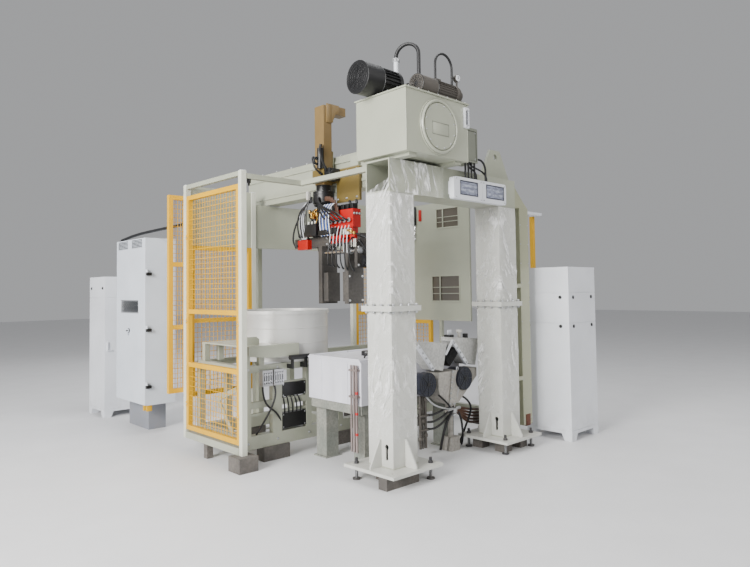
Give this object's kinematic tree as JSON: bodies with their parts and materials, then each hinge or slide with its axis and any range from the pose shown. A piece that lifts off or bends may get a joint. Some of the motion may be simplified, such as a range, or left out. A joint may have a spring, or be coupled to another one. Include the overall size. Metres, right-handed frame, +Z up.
{
  "type": "gantry low-pressure die casting machine",
  "caption": "Portal casting machine: tank on a two-column gantry, furnace below, hanging die manipulator, mesh guards and switch cabinets.",
  "frame": {"origin": "middle of the underside of the block under the left portal column, on the floor", "axes": "+X along the portal beam from the left to the right column, +Y from the operator side to the bed, +Z up"},
  "size_m": [3.445, 5.121, 3.5603],
  "materials": {
    "cream_paint": "semi-gloss pale grey-green machine paint, partly under clear film",
    "white_paint": "satin white paint",
    "cabinet_paint": "satin blue-white cabinet paint",
    "safety_yellow": "gloss safety yellow",
    "dark_block": "dull dark block",
    "zinc_steel": "bare or zinc plated steel",
    "chrome_rod": "hard chrome",
    "motor_black": "satin black paint",
    "black_rubber": "matt black rubber",
    "screen_glass": "dark glossy glass",
    "stainless": "pale sheet metal",
    "furnace_paint": "pale heat-proof paint",
    "rough_casting": "rough grey casting with dust",
    "tan_paint": "tan machine paint",
    "red_paint": "dull red paint"
  },
  "bodies": {
    "machine": {"column_legs": "cream_paint", "column_heads": "cream_paint", "portal_beam": "cream_paint", "cable_duct": "cream_paint", "foot_blocks": "dark_block", "levelling_screws": "zinc_steel", "tank_shell": "cream_paint", "tank_lid": "cream_paint", "access_cover": "cream_paint", "level_gauge": "white_paint", "tank_switch_box": "white_paint", "panel_cables": "black_rubber", "pump_motor": "motor_black", "small_pump_motor": "motor_black", "oil_hoses": "black_rubber", "standpipe": "white_paint", "control_panel": "white_paint", "panel_screens": "screen_glass", "guard_posts": "white_paint", "guard_rails": "cream_paint", "left_guard_panel": "safety_yellow", "rear_guard_panels": "safety_yellow", "rear_guard_sheet": "cream_paint", "right_guard_sheet": "cream_paint", "guard_windows": "screen_glass", "right_guard_panel": "safety_yellow", "girder": "cream_paint", "bed_frame": "cream_paint", "bed_switch_boxes": "motor_black", "valve_blocks": "zinc_steel", "table": "cream_paint", "drum": "stainless", "furnace_shell": "furnace_paint", "furnace_base": "rough_casting", "furnace_pipes": "white_paint", "furnace_hopper": "rough_casting", "inductor_housings": "rough_casting", "blower_motors": "motor_black", "control_cabinet": "cabinet_paint", "door_hinges": "motor_black", "cabinet_stand": "dark_block", "far_cabinet": "white_paint", "side_cabinet": "white_paint", "cable_conduit": "black_rubber"},
    "carriage": {"carriage": "tan_paint", "lift_motor": "motor_black"},
    "lift": {"lift_column": "tan_paint", "rotary_drive": "motor_black", "head_frame": "rough_casting", "head_manifold": "red_paint", "guide_bars": "chrome_rod", "clamp_cylinder": "motor_black"},
    "moving_jaw": {"moving_platen": "rough_casting"},
    "cabinet_door": {"control_cabinet_door": "cabinet_paint"}
  },
  "joints": [
    {"name": "manipulator_travel", "type": "slide", "parent": "machine", "child": "carriage", "axis": [0, 1, 0], "range_m": [0, 0.68]},
    {"name": "manipulator_lift", "type": "slide", "parent": "carriage", "child": "lift", "axis": [0, 0, 1], "range_m": [-0.35, 0]},
    {"name": "die_clamp", "type": "slide", "parent": "lift", "child": "moving_jaw", "axis": [0, 1, 0], "range_m": [0, 0.2]},
    {"name": "cabinet_door_hinge", "type": "hinge", "parent": "machine", "child": "cabinet_door", "pos_m": [-0.726, 2.953, 1.2], "axis": [0, 0, 1], "range_deg": [0, 110]}
  ]
}
